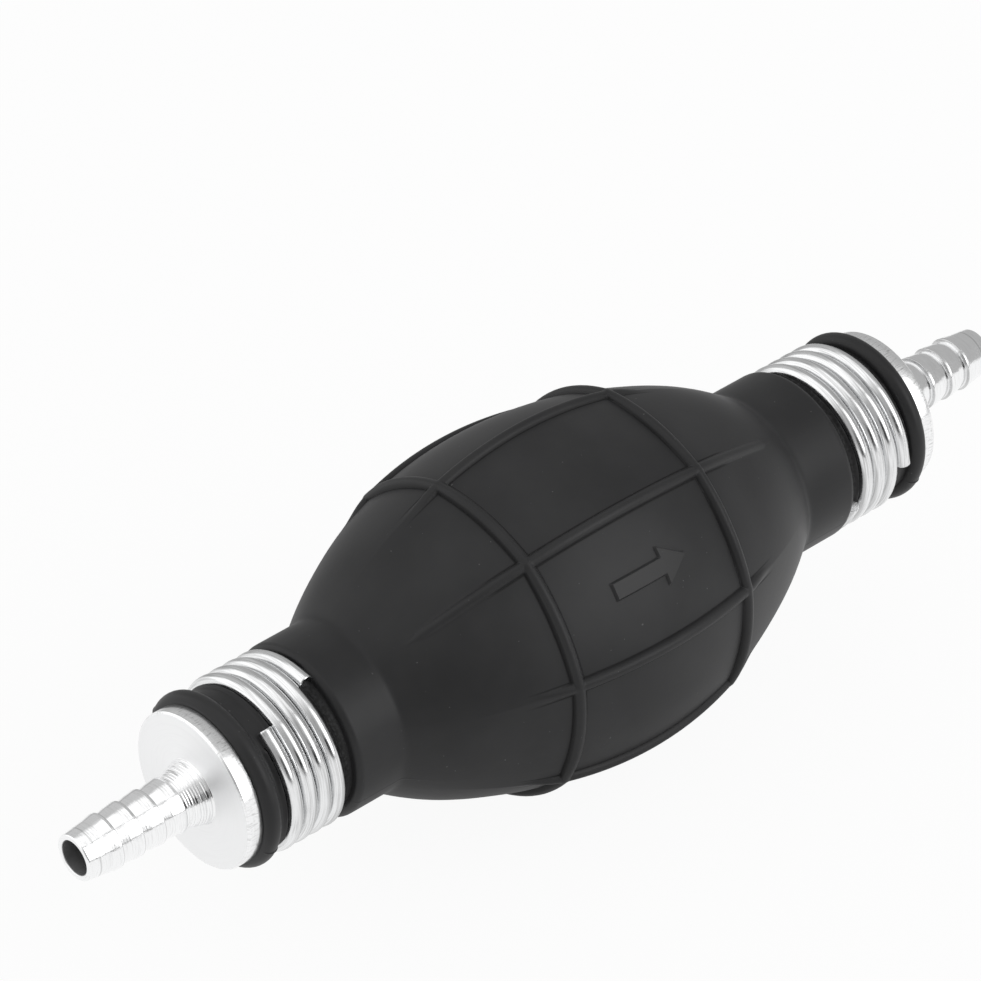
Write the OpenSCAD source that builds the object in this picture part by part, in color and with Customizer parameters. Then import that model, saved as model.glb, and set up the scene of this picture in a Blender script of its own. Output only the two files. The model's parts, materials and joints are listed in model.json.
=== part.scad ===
// Siphon bulb pump for 8 mm hose: a ribbed rubber squeeze bulb between two barbed hose tails.
// A wire spring clamp holds each neck of the bulb on its hose tail, and each hose tail
// carries a check valve that opens along the flow. Flow runs towards +X.
// The origin is the centre of the bulb and X is the axis of the pump.

/* [Bulb] */
// Diameter of the bulb at its middle, without the ribs
bulb_dia = 50; // [47:0.5:53]
// Length of the swollen belly, from crease to crease
belly_length = 73.2; // [70:0.2:78]
// Thickness of the bulb's wall
bulb_wall = 3; // [2.5:0.25:3.5]
// Diameter of the necks
neck_dia = 25.4; // [24.8:0.1:26.4]
// Length of each neck, from the crease to the clamp's groove
neck_length = 8; // [7:0.1:10]
// Length of the groove that holds a wire clamp
groove_length = 12.8; // [12:0.1:13.5]
// Diameter of the groove's floor
groove_dia = 20.6; // [20.2:0.1:21]
// Width of the rolled lip at each end
lip_width = 2.6; // [2.2:0.1:3.4]

/* [Ribs and arrow] */
// Number of lengthwise ribs
rib_count = 8; // [6:1:12]
// Turn of the first lengthwise rib about the axis, counted from +Y
rib_phase = 121.5; // [0:0.1:360]
// Radius of a rib's round back
rib_back_r = 1.15; // [1:0.05:1.6]
// Height of a rib above the belly
rib_height = 0.9; // [0.6:0.05:1.1]
// Distance of the ring ribs from the middle
ring_rib_x = 15.2; // [10:0.1:20]
// Reach of the lengthwise ribs from the middle, where they die into the belly
rib_reach = 34; // [28:0.1:34.5]
// Height of the flow arrow above the belly
arrow_height = 0.5; // [0.3:0.05:0.7]
// Length of the flow arrow
arrow_length = 12.5; // [9:0.1:15]
// Width of the flow arrow's head
arrow_width = 5.6; // [4:0.1:7]
// Turn of the flow arrow about the axis, counted from +Y
arrow_turn = 143; // [0:0.1:360]

/* [Hose tails] */
// Diameter over the barbs, which is the bore of the hose
hose_bore = 8; // [7.6:0.1:8.6]
// Diameter of the port through the tail
port_dia = 5; // [4:0.1:5.4]
// Length of the tail in front of its flange
tail_length = 19.5; // [18.5:0.1:24]
// Diameter of the flange
flange_dia = 22.8; // [21:0.1:24]
// Thickness of the flange
flange_thickness = 2.5; // [2.2:0.1:3.5]
// Number of barbs
barb_count = 4; // [3:1:4]
// Distance from barb to barb
barb_pitch = 3.47; // [3.2:0.01:3.6]

/* [Wire clamps] */
// Diameter of the clamp's wire, across its corners
wire_dia = 2.12; // [1.8:0.01:2.12]
// Distance from turn to turn
wire_pitch = 2.37; // [2.27:0.01:2.42]
// Number of turns
wire_turns = 3.9; // [3:0.1:4]

/* [Check valves] */
// Lift of a poppet off its seat
valve_lift = 1.6; // [1:0.1:1.8]
// Diameter of the flow hole in a valve seat
seat_hole_dia = 5.2; // [4.6:0.1:5.4]
// Diameter of a poppet's head
poppet_dia = 7.8; // [7.6:0.1:8]
// Number of turns in a valve spring
spring_turns = 5; // [4:1:6]

/* [Hidden] */

round_fn = 96;
bite = 1;                            // how far a cutting solid runs past what it cuts

// Stations along X, each for the +X half
crease_x = belly_length / 2;
neck_end_x = crease_x + neck_length;
lip_x = neck_end_x + groove_length;
flange_x = lip_x + lip_width;        // where the flange's back meets the rubber
face_x = flange_x + flange_thickness;
tip_x = face_x + tail_length;

// The belly is one arc in section: through its widest point and through both creases
bulb_r = bulb_dia / 2;
neck_r = neck_dia / 2;
belly_drop = bulb_r - neck_r;
belly_arc_r = (pow(crease_x, 2) + pow(belly_drop, 2)) / (2 * belly_drop);
belly_arc_y = bulb_r - belly_arc_r;  // its centre, beyond the axis
function belly_radius(x) = belly_arc_y + sqrt(pow(belly_arc_r, 2) - x * x);

// A lengthwise rib is a bent rod that starts in the belly's skin and sinks below it
rib_axis_r = bulb_r + rib_height - rib_back_r;
rib_end_r = belly_radius(rib_reach) - rib_back_r;
rib_drop = rib_axis_r - rib_end_r;
rib_arc_r = (pow(rib_reach, 2) + pow(rib_drop, 2)) / (2 * rib_drop);
rib_arc_y = rib_axis_r - rib_arc_r;
rib_half_angle = asin(rib_reach / rib_arc_r);

arrow_shaft = arrow_width * 0.47;    // width of its shaft
arrow_head = arrow_length / 3;       // length of its head

// Spigot of a hose tail, inside the neck
spigot_length = 18;
spigot_r = 7.6;
spigot_barb_r = 8.2;
spigot_barbs = 4;
spigot_rise = 0.7;                   // share of a barb's pitch over which it rises
spigot_drop = 0.05;                  // share over which it falls again
spigot_x = flange_x - spigot_length; // its open end, towards the bulb
groove_r = groove_dia / 2;

// Barbs of the tail
barb_r = hose_bore / 2;
valley_r = barb_r - 0.42;
tip_r = barb_r - 0.8;
root_r = barb_r + 0.55;
root_length = 3.8;
barb_step = 0.15;                    // length over which a barb rises to its land
barb_land = 0.4;
turned_edge = 0.3;                   // chamfers of the tail's mouth and of the flange

// Check valve, drawn from its seat's outer face at u = 0 towards its cage's end
slip_fit = 0.05;                     // radial room of a part that slips into another
moulded_edge = 0.4;                  // chamfers and fillets of the plastic parts
pocket_r = 6.1;
seat_r = pocket_r - slip_fit;
seat_body = 3.6;
seat_register = 0.2;                 // step that centres the cage on the seat
seat_chamfer = 0.6;
seat_lip_r = 3.5;
seat_lip_flare = 1;
seat_face = 4;                       // the raised lip that the seal closes on
oring_r = 0.6;
oring_u = 2;
oring_mean_r = pocket_r - oring_r;
oring_room = 0.2;                    // on each side of it in its groove
seal_thickness = 0.9;
seal_hole_r = 1.3;
nose_flange = 0.5;                   // holds the seal on the poppet's nose
head_u = seat_face + seal_thickness;
head_thickness = 1.5;
head_end_u = head_u + head_thickness;
stem_r = 1;
stem_clearance = 0.15;
spring_wire_r = 0.25;
spring_mean_r = 2.3;
spring_spare = 1.7;                  // how far it is from coil-bound with the valve open
spring_length = valve_lift + (spring_turns + 2) * 2 * spring_wire_r + spring_spare;
cage_bore_r = 4.9;
cage_ledge = 0.4;                    // inside its rim, at the end of its bore
cage_floor_u = head_end_u + spring_length;
cage_end = 1.8;
cage_hub_r = 2;
cage_spokes = 4;
spoke_width = 1.3;
cartridge_length = cage_floor_u + cage_end;

// Valve pocket in the spigot, with a groove for the snap ring at its mouth
snap_width = 1;
snap_groove_r = 6.7;
snap_x = spigot_x + 0.9;
pocket_x = snap_x + snap_width;      // where the cartridge's near end sits
shoulder_x = pocket_x + cartridge_length;
plenum_r = 4.8;                      // clear space between the cartridge and the port
plenum_length = 2;
inlet_valve_x = -shoulder_x;
outlet_valve_x = pocket_x;

// The wire is faceted, so its straight facets reach a little nearer the groove's floor than this
clamp_room = 0.03;
shoulder_r = 1;                      // rounding of the neck's end, above the clamp's groove

rubber = [0.19, 0.19, 0.2];
nitrile = [0.08, 0.08, 0.09];
aluminium = [0.88, 0.89, 0.9];
bright_steel = [0.8, 0.81, 0.83];
dark_steel = [0.35, 0.36, 0.38];
brass = [0.8, 0.65, 0.35];
acetal = [0.93, 0.93, 0.9];

// ---- Shared shapes ----

// Turns an outline of [radius, x] points about the X axis
module turned() {
    rotate([0, 90, 0]) rotate_extrude($fn = round_fn) children();
}

// A band of the outline, from one radius and station to another
module band(r0, r1, x0, x1) {
    translate([r0, x0]) square([r1 - r0, x1 - x0]);
}

module at_inlet() {
    mirror([1, 0, 0]) children();
}

// One unbroken tube of six sides, wound about X from x = 0, right-handed.
// Both ends run straight for one diameter of the wire.
function coil_frame(a, mean_r, pitch) =
    let (rise = pitch / 360 * 180 / PI,
         along = [rise, -mean_r * sin(a), mean_r * cos(a)] / norm([rise, mean_r]),
         out = [0, cos(a), sin(a)])
    [along, out, cross(along, out)];
function coil_centre(a, a0, mean_r, pitch) =
    [pitch * (a - a0) / 360, mean_r * cos(a), mean_r * sin(a)];
function coil_ring(centre, frame, wire_r) =
    [for (side = [0:5]) centre + wire_r * (cos(60 * side) * frame[1] + sin(60 * side) * frame[2])];
function coil_rings(mean_r, wire_r, pitch, turns, a0, rings) =
    let (last = round(turns * rings),
         turn = function(k) a0 + 360 * k / rings,
         first_frame = coil_frame(a0, mean_r, pitch),
         last_frame = coil_frame(turn(last), mean_r, pitch),
         first = coil_centre(a0, a0, mean_r, pitch) - 2 * wire_r * first_frame[0],
         final = coil_centre(turn(last), a0, mean_r, pitch) + 2 * wire_r * last_frame[0])
    concat([coil_ring(first, first_frame, wire_r)],
        [for (k = [0:last]) coil_ring(coil_centre(turn(k), a0, mean_r, pitch),
            coil_frame(turn(k), mean_r, pitch), wire_r)],
        [coil_ring(final, last_frame, wire_r)]);
// Least distance between the corners of a ring and those near it one turn on
function coil_gap(ring, rings) =
    min([for (k = [0:len(ring) - rings - 1], step = [-2:2])
        if (k + rings + step < len(ring))
            for (p = ring[k], q = ring[k + rings + step]) norm(p - q)]);

module coil(name, mean_r, wire_r, pitch, turns, a0, rings) {
    ring = coil_rings(mean_r, wire_r, pitch, turns, a0, rings);
    points = [for (r = ring) each r];
    last = len(ring) - 1;
    echo(str("Least gap of the ", name, " to itself, in mm: ", coil_gap(ring, rings)));
    polyhedron(points = points, faces = concat(
        [for (k = [0:last - 1], s = [0:5]) [6 * k + s, 6 * k + (s + 1) % 6, 6 * k + 6 + s]],
        [for (k = [0:last - 1], s = [0:5])
            [6 * k + (s + 1) % 6, 6 * k + 6 + (s + 1) % 6, 6 * k + 6 + s]],
        [for (s = [1:4]) [0, s + 1, s]],
        [for (s = [1:4]) [6 * last, 6 * last + s, 6 * last + s + 1]]));
}

// ---- Bulb ----

// The belly's outline, thicker or thinner by grow, out to the creases
module belly_outline(grow) {
    intersection() {
        translate([belly_arc_y, 0]) circle(belly_arc_r + grow, $fn = round_fn);
        translate([0, -crease_x]) square([bulb_r + rib_height, belly_length]);
    }
}

module ring_rib_outline(x) {
    translate([belly_radius(x) + rib_height - rib_back_r, x]) circle(rib_back_r, $fn = round_fn);
}

// Neck, groove floor and rolled lip of one end
module neck_outline() {
    round_x = neck_end_x - shoulder_r;
    band(0, neck_r, crease_x - bite, round_x);
    band(0, neck_r - shoulder_r, round_x - bite, neck_end_x);
    translate([neck_r - shoulder_r, round_x]) circle(shoulder_r, $fn = round_fn);
    band(0, groove_r, neck_end_x - bite, flange_x);
    band(0, neck_r - lip_width / 2, lip_x, flange_x);
    translate([neck_r - lip_width / 2, (lip_x + flange_x) / 2])
        circle(lip_width / 2, $fn = round_fn);
}

// Where the spigot's barbs press into the neck's rubber
module spigot_bore_outline() {
    polygon(concat([[0, spigot_x]], spigot_points(),
        [[spigot_r, flange_x + bite], [0, flange_x + bite]]));
}

module lengthwise_rib() {
    translate([0, rib_arc_y, 0]) rotate([0, 0, 90 - rib_half_angle])
        rotate_extrude(angle = 2 * rib_half_angle, $fn = round_fn)
            translate([rib_arc_r, 0]) circle(rib_back_r, $fn = 32);
}

module flow_arrow() {
    intersection() {
        turned() belly_outline(arrow_height);
        rotate([arrow_turn, 0, 0]) rotate([-90, 0, 0])
            linear_extrude(2 * bulb_r) polygon([
                [arrow_length / 2, 0],
                [arrow_length / 2 - arrow_head, arrow_width / 2],
                [arrow_length / 2 - arrow_head, arrow_shaft / 2],
                [-arrow_length / 2, arrow_shaft / 2],
                [-arrow_length / 2, -arrow_shaft / 2],
                [arrow_length / 2 - arrow_head, -arrow_shaft / 2],
                [arrow_length / 2 - arrow_head, -arrow_width / 2]]);
    }
}

module squeeze_bulb() {
    color(rubber) difference() {
        union() {
            turned() {
                belly_outline(0);
                neck_outline();
                mirror([0, 1]) neck_outline();
                ring_rib_outline(ring_rib_x);
                ring_rib_outline(-ring_rib_x);
            }
            for (i = [0:rib_count - 1])
                rotate([rib_phase + i * 360 / rib_count, 0, 0]) lengthwise_rib();
            flow_arrow();
        }
        turned() {
            belly_outline(-bulb_wall);
            band(0, spigot_r, -spigot_x - bite, spigot_x + bite);
            spigot_bore_outline();
            mirror([0, 1]) spigot_bore_outline();
        }
    }
}

// ---- Hose tails ----

// Outline points from the spigot's open end to its flange, a barb at a time
function spigot_points() =
    let (pitch = spigot_length / spigot_barbs)
    [for (i = [0:spigot_barbs - 1]) each [
        [spigot_r, spigot_x + i * pitch],
        [spigot_barb_r, spigot_x + (i + spigot_rise) * pitch],
        [spigot_r, spigot_x + (i + spigot_rise + spigot_drop) * pitch]]];

function flange_points() =
    let (r = flange_dia / 2)
    [[spigot_r, flange_x], [r - turned_edge / 2, flange_x], [r, flange_x + turned_edge / 2],
        [r, face_x - turned_edge], [r - turned_edge, face_x]];

function tail_points() =
    let (step_x = function(i) face_x + root_length + i * barb_pitch)
    concat([[root_r, face_x]],
        [for (i = [0:barb_count - 1]) each [
            [valley_r, step_x(i)],
            [barb_r, step_x(i) + barb_step],
            [barb_r, step_x(i) + barb_step + barb_land]]],
        [[tip_r, tip_x - turned_edge], [tip_r - turned_edge, tip_x]]);

module flow_path_outline() {
    port_r = port_dia / 2;
    band(0, pocket_r, spigot_x - bite, shoulder_x);
    band(0, snap_groove_r, snap_x, pocket_x);
    band(0, plenum_r, shoulder_x - bite, shoulder_x + plenum_length);
    band(0, port_r, shoulder_x, tip_x + bite);
    polygon([[0, tip_x - turned_edge], [port_r, tip_x - turned_edge],
        [port_r + 2 * turned_edge, tip_x + turned_edge], [0, tip_x + turned_edge]]);
}

module hose_tail() {
    color(aluminium) turned() difference() {
        polygon(concat([[0, spigot_x]], spigot_points(), flange_points(), tail_points(),
            [[0, tip_x]]));
        flow_path_outline();
    }
}

// ---- Wire clamps ----

// Wound from the groove's end at x_end; share is the part of the spare room left at that end
module wire_clamp(name, x_end, share, end_turn) {
    wire_r = wire_dia / 2;
    spare = groove_length - wire_turns * wire_pitch - wire_dia;
    color(bright_steel) translate([x_end + share * spare + wire_r, 0, 0])
        coil(name, groove_r + wire_r + clamp_room, wire_r, wire_pitch, wire_turns, end_turn, 30);
}

// ---- Check valves ----

module valve_seat() {
    hole_r = seat_hole_dia / 2;
    oring_floor_r = oring_mean_r - oring_r;
    color(brass) turned() difference() {
        union() {
            band(hole_r, seat_r, 0, seat_body);
            band(hole_r, cage_bore_r - slip_fit, seat_body - bite, seat_body + seat_register);
            polygon([[hole_r, seat_body - bite], [seat_lip_r + seat_lip_flare, seat_body - bite],
                [seat_lip_r, seat_face], [hole_r, seat_face]]);
        }
        band(oring_floor_r, seat_r + bite,
            oring_u - oring_r - oring_room, oring_u + oring_r + oring_room);
        polygon([[0, -bite], [hole_r + seat_chamfer + bite, -bite], [hole_r, seat_chamfer],
            [0, seat_chamfer]]);
    }
}

module seat_oring() {
    color(nitrile) turned() translate([oring_mean_r, oring_u]) circle(oring_r, $fn = 48);
}

module poppet_seal() {
    color(nitrile) turned() band(seal_hole_r, poppet_dia / 2, seat_face, head_u);
}

module valve_poppet() {
    head_r = poppet_dia / 2;
    nose_r = seal_hole_r + nose_flange;
    nose_u = seat_face - 2 * nose_flange;
    stem_end_u = cartridge_length - moulded_edge;
    color(acetal) turned() polygon([
        [0, nose_u], [nose_r - moulded_edge, nose_u], [nose_r, nose_u + moulded_edge],
        [nose_r, seat_face], [seal_hole_r, seat_face], [seal_hole_r, head_u],
        [head_r, head_u], [head_r, head_end_u - moulded_edge],
        [head_r - moulded_edge, head_end_u], [stem_r + moulded_edge, head_end_u],
        [stem_r, head_end_u + moulded_edge], [stem_r, stem_end_u - moulded_edge],
        [stem_r - moulded_edge, stem_end_u], [0, stem_end_u]]);
}

module valve_spring(name) {
    rise = spring_length - 4 * spring_wire_r;
    color(dark_steel) translate([head_end_u + 2 * spring_wire_r, 0, 0])
        coil(name, spring_mean_r, spring_wire_r, rise / spring_turns, spring_turns, 0, 12);
}

module valve_cage() {
    color(acetal) difference() {
        turned() {
            band(cage_bore_r, seat_r, seat_body, cage_floor_u + bite);
            polygon([[stem_r + stem_clearance, cage_floor_u], [seat_r, cage_floor_u],
                [seat_r, cartridge_length - moulded_edge],
                [seat_r - moulded_edge, cartridge_length],
                [stem_r + stem_clearance, cartridge_length]]);
        }
        difference() {
            turned() band(cage_hub_r, cage_bore_r - cage_ledge, cage_floor_u - bite,
                cartridge_length + bite);
            for (i = [0:cage_spokes - 1]) rotate([45 + i * 360 / cage_spokes, 0, 0])
                translate([cage_floor_u, 0, -spoke_width / 2])
                    cube([cage_end, seat_r, spoke_width]);
        }
    }
}

module snap_ring() {
    outer_r = snap_groove_r - slip_fit;
    inner_r = outer_r - 1.3;
    lug_r = 1.1;
    lug_hole_r = 0.45;
    lug_turn = 24;                   // half the angle between the holes for the pliers
    color(dark_steel) translate([snap_x, 0, 0]) difference() {
        union() {
            difference() {
                turned() band(inner_r, outer_r, 0, snap_width);
                translate([-bite, 0, 0]) rotate([90, 0, 90]) linear_extrude(snap_width + 2 * bite)
                    polygon([[0, 0],
                        [2 * outer_r * cos(lug_turn), 2 * outer_r * sin(lug_turn)],
                        [2 * outer_r * cos(lug_turn), -2 * outer_r * sin(lug_turn)]]);
            }
            for (side = [-1, 1]) rotate([side * lug_turn, 0, 0])
                translate([0, inner_r, 0]) rotate([0, 90, 0]) cylinder(r = lug_r, h = snap_width,
                    $fn = 32);
        }
        for (side = [-1, 1]) rotate([side * lug_turn, 0, 0])
            translate([-bite, inner_r, 0]) rotate([0, 90, 0])
                cylinder(r = lug_hole_r, h = snap_width + 2 * bite, $fn = 32);
    }
}

// ---- Nodes ----

module inlet_hose_tail() { at_inlet() hose_tail(); }
module inlet_wire_clamp() { wire_clamp("inlet clamp", -lip_x, 0.9, 132); }
module inlet_valve_seat() { translate([inlet_valve_x, 0, 0]) valve_seat(); }
module inlet_seat_oring() { translate([inlet_valve_x, 0, 0]) seat_oring(); }
module inlet_valve_poppet() { translate([inlet_valve_x, 0, 0]) valve_poppet(); }
module inlet_poppet_seal() { translate([inlet_valve_x, 0, 0]) poppet_seal(); }
module inlet_valve_spring() { translate([inlet_valve_x, 0, 0]) valve_spring("inlet spring"); }
module inlet_valve_cage() { translate([inlet_valve_x, 0, 0]) valve_cage(); }
module inlet_snap_ring() { at_inlet() snap_ring(); }

module outlet_hose_tail() { hose_tail(); }
module outlet_wire_clamp() { wire_clamp("outlet clamp", neck_end_x, 0.6, 206.5); }
module outlet_valve_seat() { translate([outlet_valve_x, 0, 0]) valve_seat(); }
module outlet_seat_oring() { translate([outlet_valve_x, 0, 0]) seat_oring(); }
module outlet_valve_poppet() { translate([outlet_valve_x, 0, 0]) valve_poppet(); }
module outlet_poppet_seal() { translate([outlet_valve_x, 0, 0]) poppet_seal(); }
module outlet_valve_spring() { translate([outlet_valve_x, 0, 0]) valve_spring("outlet spring"); }
module outlet_valve_cage() { translate([outlet_valve_x, 0, 0]) valve_cage(); }
module outlet_snap_ring() { snap_ring(); }

squeeze_bulb();
inlet_hose_tail();
inlet_wire_clamp();
inlet_valve_seat();
inlet_seat_oring();
inlet_valve_poppet();
inlet_poppet_seal();
inlet_valve_spring();
inlet_valve_cage();
inlet_snap_ring();
outlet_hose_tail();
outlet_wire_clamp();
outlet_valve_seat();
outlet_seat_oring();
outlet_valve_poppet();
outlet_poppet_seal();
outlet_valve_spring();
outlet_valve_cage();
outlet_snap_ring();
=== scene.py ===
import json
import math

import bpy
import numpy as np
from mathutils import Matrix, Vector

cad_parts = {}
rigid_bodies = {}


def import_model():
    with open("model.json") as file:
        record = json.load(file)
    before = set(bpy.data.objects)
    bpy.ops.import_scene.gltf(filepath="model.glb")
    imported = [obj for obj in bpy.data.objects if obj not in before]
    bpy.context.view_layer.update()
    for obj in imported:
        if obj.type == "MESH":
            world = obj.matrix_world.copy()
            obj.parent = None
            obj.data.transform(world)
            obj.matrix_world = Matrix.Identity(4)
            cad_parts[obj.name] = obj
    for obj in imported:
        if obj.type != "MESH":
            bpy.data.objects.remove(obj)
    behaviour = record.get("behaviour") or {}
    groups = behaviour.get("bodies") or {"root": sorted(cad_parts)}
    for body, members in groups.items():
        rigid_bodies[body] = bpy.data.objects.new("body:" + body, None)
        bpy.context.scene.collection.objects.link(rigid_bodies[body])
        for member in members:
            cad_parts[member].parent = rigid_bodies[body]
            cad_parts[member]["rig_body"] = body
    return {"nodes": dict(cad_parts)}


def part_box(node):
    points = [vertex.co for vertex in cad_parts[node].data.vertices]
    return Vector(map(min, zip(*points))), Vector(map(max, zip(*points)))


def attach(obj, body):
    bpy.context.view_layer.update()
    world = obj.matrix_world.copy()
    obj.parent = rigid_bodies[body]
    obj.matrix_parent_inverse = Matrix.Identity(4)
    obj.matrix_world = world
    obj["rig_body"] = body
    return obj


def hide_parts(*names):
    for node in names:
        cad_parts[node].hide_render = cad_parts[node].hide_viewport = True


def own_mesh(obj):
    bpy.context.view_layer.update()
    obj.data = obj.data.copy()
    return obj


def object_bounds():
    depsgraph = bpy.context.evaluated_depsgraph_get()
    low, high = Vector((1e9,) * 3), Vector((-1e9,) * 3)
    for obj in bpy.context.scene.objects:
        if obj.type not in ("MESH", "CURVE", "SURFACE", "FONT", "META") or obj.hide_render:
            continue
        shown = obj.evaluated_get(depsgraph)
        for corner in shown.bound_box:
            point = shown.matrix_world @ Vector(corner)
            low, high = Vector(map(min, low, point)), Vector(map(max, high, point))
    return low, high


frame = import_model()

cadLow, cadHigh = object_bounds()
mm = 0.001                              # sizes below are in millimetres
tau = 2 * math.pi


def roundedLine(corners, arcSteps):
    # corners are (x, radius, fillet); returns points with the fillets drawn as arcs
    line = []
    for k, (x, radius, fillet) in enumerate(corners):
        here = np.array([x, radius], float)
        if fillet == 0:
            line.append(here)
            continue
        before = np.array(corners[k - 1][:2]) - here
        after = np.array(corners[k + 1][:2]) - here
        before = before / np.linalg.norm(before)
        after = after / np.linalg.norm(after)
        half = math.acos(float(np.clip(before @ after, -1, 1))) / 2
        inward = (before + after) / np.linalg.norm(before + after)
        centre = here + inward * fillet / math.sin(half)
        start = here + before * fillet / math.tan(half) - centre
        end = here + after * fillet / math.tan(half) - centre
        first = math.atan2(start[1], start[0])
        turn = wrapAngle(math.atan2(end[1], end[0]) - first)
        for angle in first + turn * np.linspace(0, 1, arcSteps + 1):
            line.append(centre + fillet * np.array([math.cos(angle), math.sin(angle)]))
    return np.array(line)


def fillIn(stops, step):
    # keeps every stop and divides the wider gaps evenly
    stops = sorted(stops)
    filled = [stops[0]]
    for a, b in zip(stops, stops[1:]):
        parts = max(1, math.ceil((b - a) / step - 1e-6))
        filled += [a + (b - a) * k / parts for k in range(1, parts + 1)]
    return np.array(filled)


def fillLine(line, step):
    # the same along a line of points
    filled = [line[0]]
    for a, b in zip(line, line[1:]):
        parts = max(1, math.ceil(np.linalg.norm(b - a) / step - 1e-6))
        filled += [a + (b - a) * k / parts for k in range(1, parts + 1)]
    return np.array(filled)


def smoothStep(value, low, high):
    share = np.clip((value - low) / (high - low), 0, 1)
    return share * share * (3 - 2 * share)


def smoothMax(a, b, blend):
    near = np.maximum(blend - np.abs(a - b), 0) / blend
    return np.maximum(a, b) + near * near * blend / 4


def wrapAngle(angle):
    return (angle + math.pi) % tau - math.pi


def gridFaces(rows, columns, closedRows):
    # quads of a grid whose columns run round; the rows may close up too
    last = rows if closedRows else rows - 1
    row = np.arange(last)[:, None]
    column = np.arange(columns)[None, :]
    nextRow = (row + 1) % rows
    nextColumn = (column + 1) % columns
    quads = np.stack([row * columns + column, row * columns + nextColumn,
                      nextRow * columns + nextColumn, nextRow * columns + column], axis=-1)
    return quads.reshape(-1, 4).tolist()


def addPiece(name, points, faces, node, sharpAngle):
    # a piece in the place of a CAD node, on that node's body
    mesh = bpy.data.meshes.new(name)
    mesh.from_pydata((np.asarray(points) * mm).tolist(), [], faces)
    mesh.validate()
    mesh.shade_smooth()
    mesh.set_sharp_from_angle(angle=math.radians(sharpAngle))
    piece = bpy.data.objects.new(name, mesh)
    bpy.context.scene.collection.objects.link(piece)
    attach(piece, frame["nodes"][node]["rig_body"])
    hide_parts(node)
    return piece


def aboutAxis(x, radius, angle):
    # points from a place along the X axis, a distance from it and a turn about it
    return np.stack([x, radius * np.cos(angle), radius * np.sin(angle)], axis=-1)


class Value:
    # an output socket; arithmetic on it adds Math nodes
    def __init__(self, paint, socket):
        self.paint = paint
        self.socket = socket

    def math(self, operation, *others):
        return self.paint.node("ShaderNodeMath", {"operation": operation},
                               dict(enumerate((self, *others))))

    def other(self, name):
        return Value(self.paint, self.socket.node.outputs[name])

    def __add__(self, other):
        return self.math("ADD", other)

    def __sub__(self, other):
        return self.math("SUBTRACT", other)

    def __rsub__(self, other):
        return self.paint.node("ShaderNodeMath", {"operation": "SUBTRACT"}, {0: other, 1: self})

    def __mul__(self, other):
        return self.math("MULTIPLY", other)

    def __truediv__(self, other):
        return self.math("DIVIDE", other)

    __radd__ = __add__
    __rmul__ = __mul__


class Paint:
    # writes the nodes of one material, or of the world
    def __init__(self, tree):
        self.tree = tree
        tree.nodes.clear()

    def node(self, kind, settings, sockets, output=0):
        made = self.tree.nodes.new(kind)
        for name, value in settings.items():
            setattr(made, name, value)
        for key, value in sockets.items():
            if isinstance(value, Value):
                self.tree.links.new(value.socket, made.inputs[key])
            else:
                made.inputs[key].default_value = value
        return Value(self, made.outputs[output]) if made.outputs else made

    def noise(self, vector, scale, detail):
        return self.node("ShaderNodeTexNoise", {},
                         {"Vector": vector, "Scale": scale, "Detail": detail})

    def roundNoise(self, x, radius, outY, outZ, detail):
        # the direction away from the axis is its last two measures, so that it runs in rings
        return self.node("ShaderNodeTexNoise", {"noise_dimensions": "4D"},
                         {"Vector": self.combine(x, radius, outY), "Scale": 1, "Detail": detail,
                          "W": outZ})

    def patchNoise(self, x, outY, outZ, scale, detail):
        # scale is the number of patches along the axis, per metre, and round it
        along, around = scale
        return self.noise(self.combine(x * along, outY * around, outZ * around), 1, detail)

    def step(self, value, low, high):
        # 0 below low, 1 above high, smooth between
        return self.node("ShaderNodeMapRange", {"interpolation_type": "SMOOTHSTEP"},
                         {"Value": value, "From Min": low, "From Max": high})

    def band(self, value, low, high, edge):
        # 1 between low and high, with soft edges
        return (self.step(value, low - edge, low + edge)
                * (1 - self.step(value, high - edge, high + edge)))

    def mix(self, share, a, b):
        return self.node("ShaderNodeMix", {"data_type": "RGBA"}, {0: share, 6: a, 7: b}, 2)

    def combine(self, x, y, z):
        return self.node("ShaderNodeCombineXYZ", {}, {"X": x, "Y": y, "Z": z})

    def place(self):
        # x, y, z in metres
        x = self.node("ShaderNodeSeparateXYZ", {},
                      {"Vector": self.node("ShaderNodeTexCoord", {}, {}, "Object")})
        return x, x.other("Y"), x.other("Z")

    def bump(self, height, distance, strength):
        return self.node("ShaderNodeBump", {},
                         {"Height": height, "Distance": distance, "Strength": strength})

    def aroundAxis(self):
        # x, the radius from the X axis, and the unit direction away from it
        x, y, z = self.place()
        radius = (y * y + z * z).math("SQRT").math("MAXIMUM", 1e-5)
        return x, radius, y / radius, z / radius

    def finish(self, sockets):
        shader = self.node("ShaderNodeBsdfPrincipled", {}, sockets)
        self.node("ShaderNodeOutputMaterial", {}, {"Surface": shader})


def newPaint(name):
    material = bpy.data.materials.new(name)
    material.use_nodes = True
    return material, Paint(material.node_tree)


def grey(level):
    return (level, level, level, 1)


def inMetres(sizes):
    return [size * mm for size in sizes]


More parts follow.
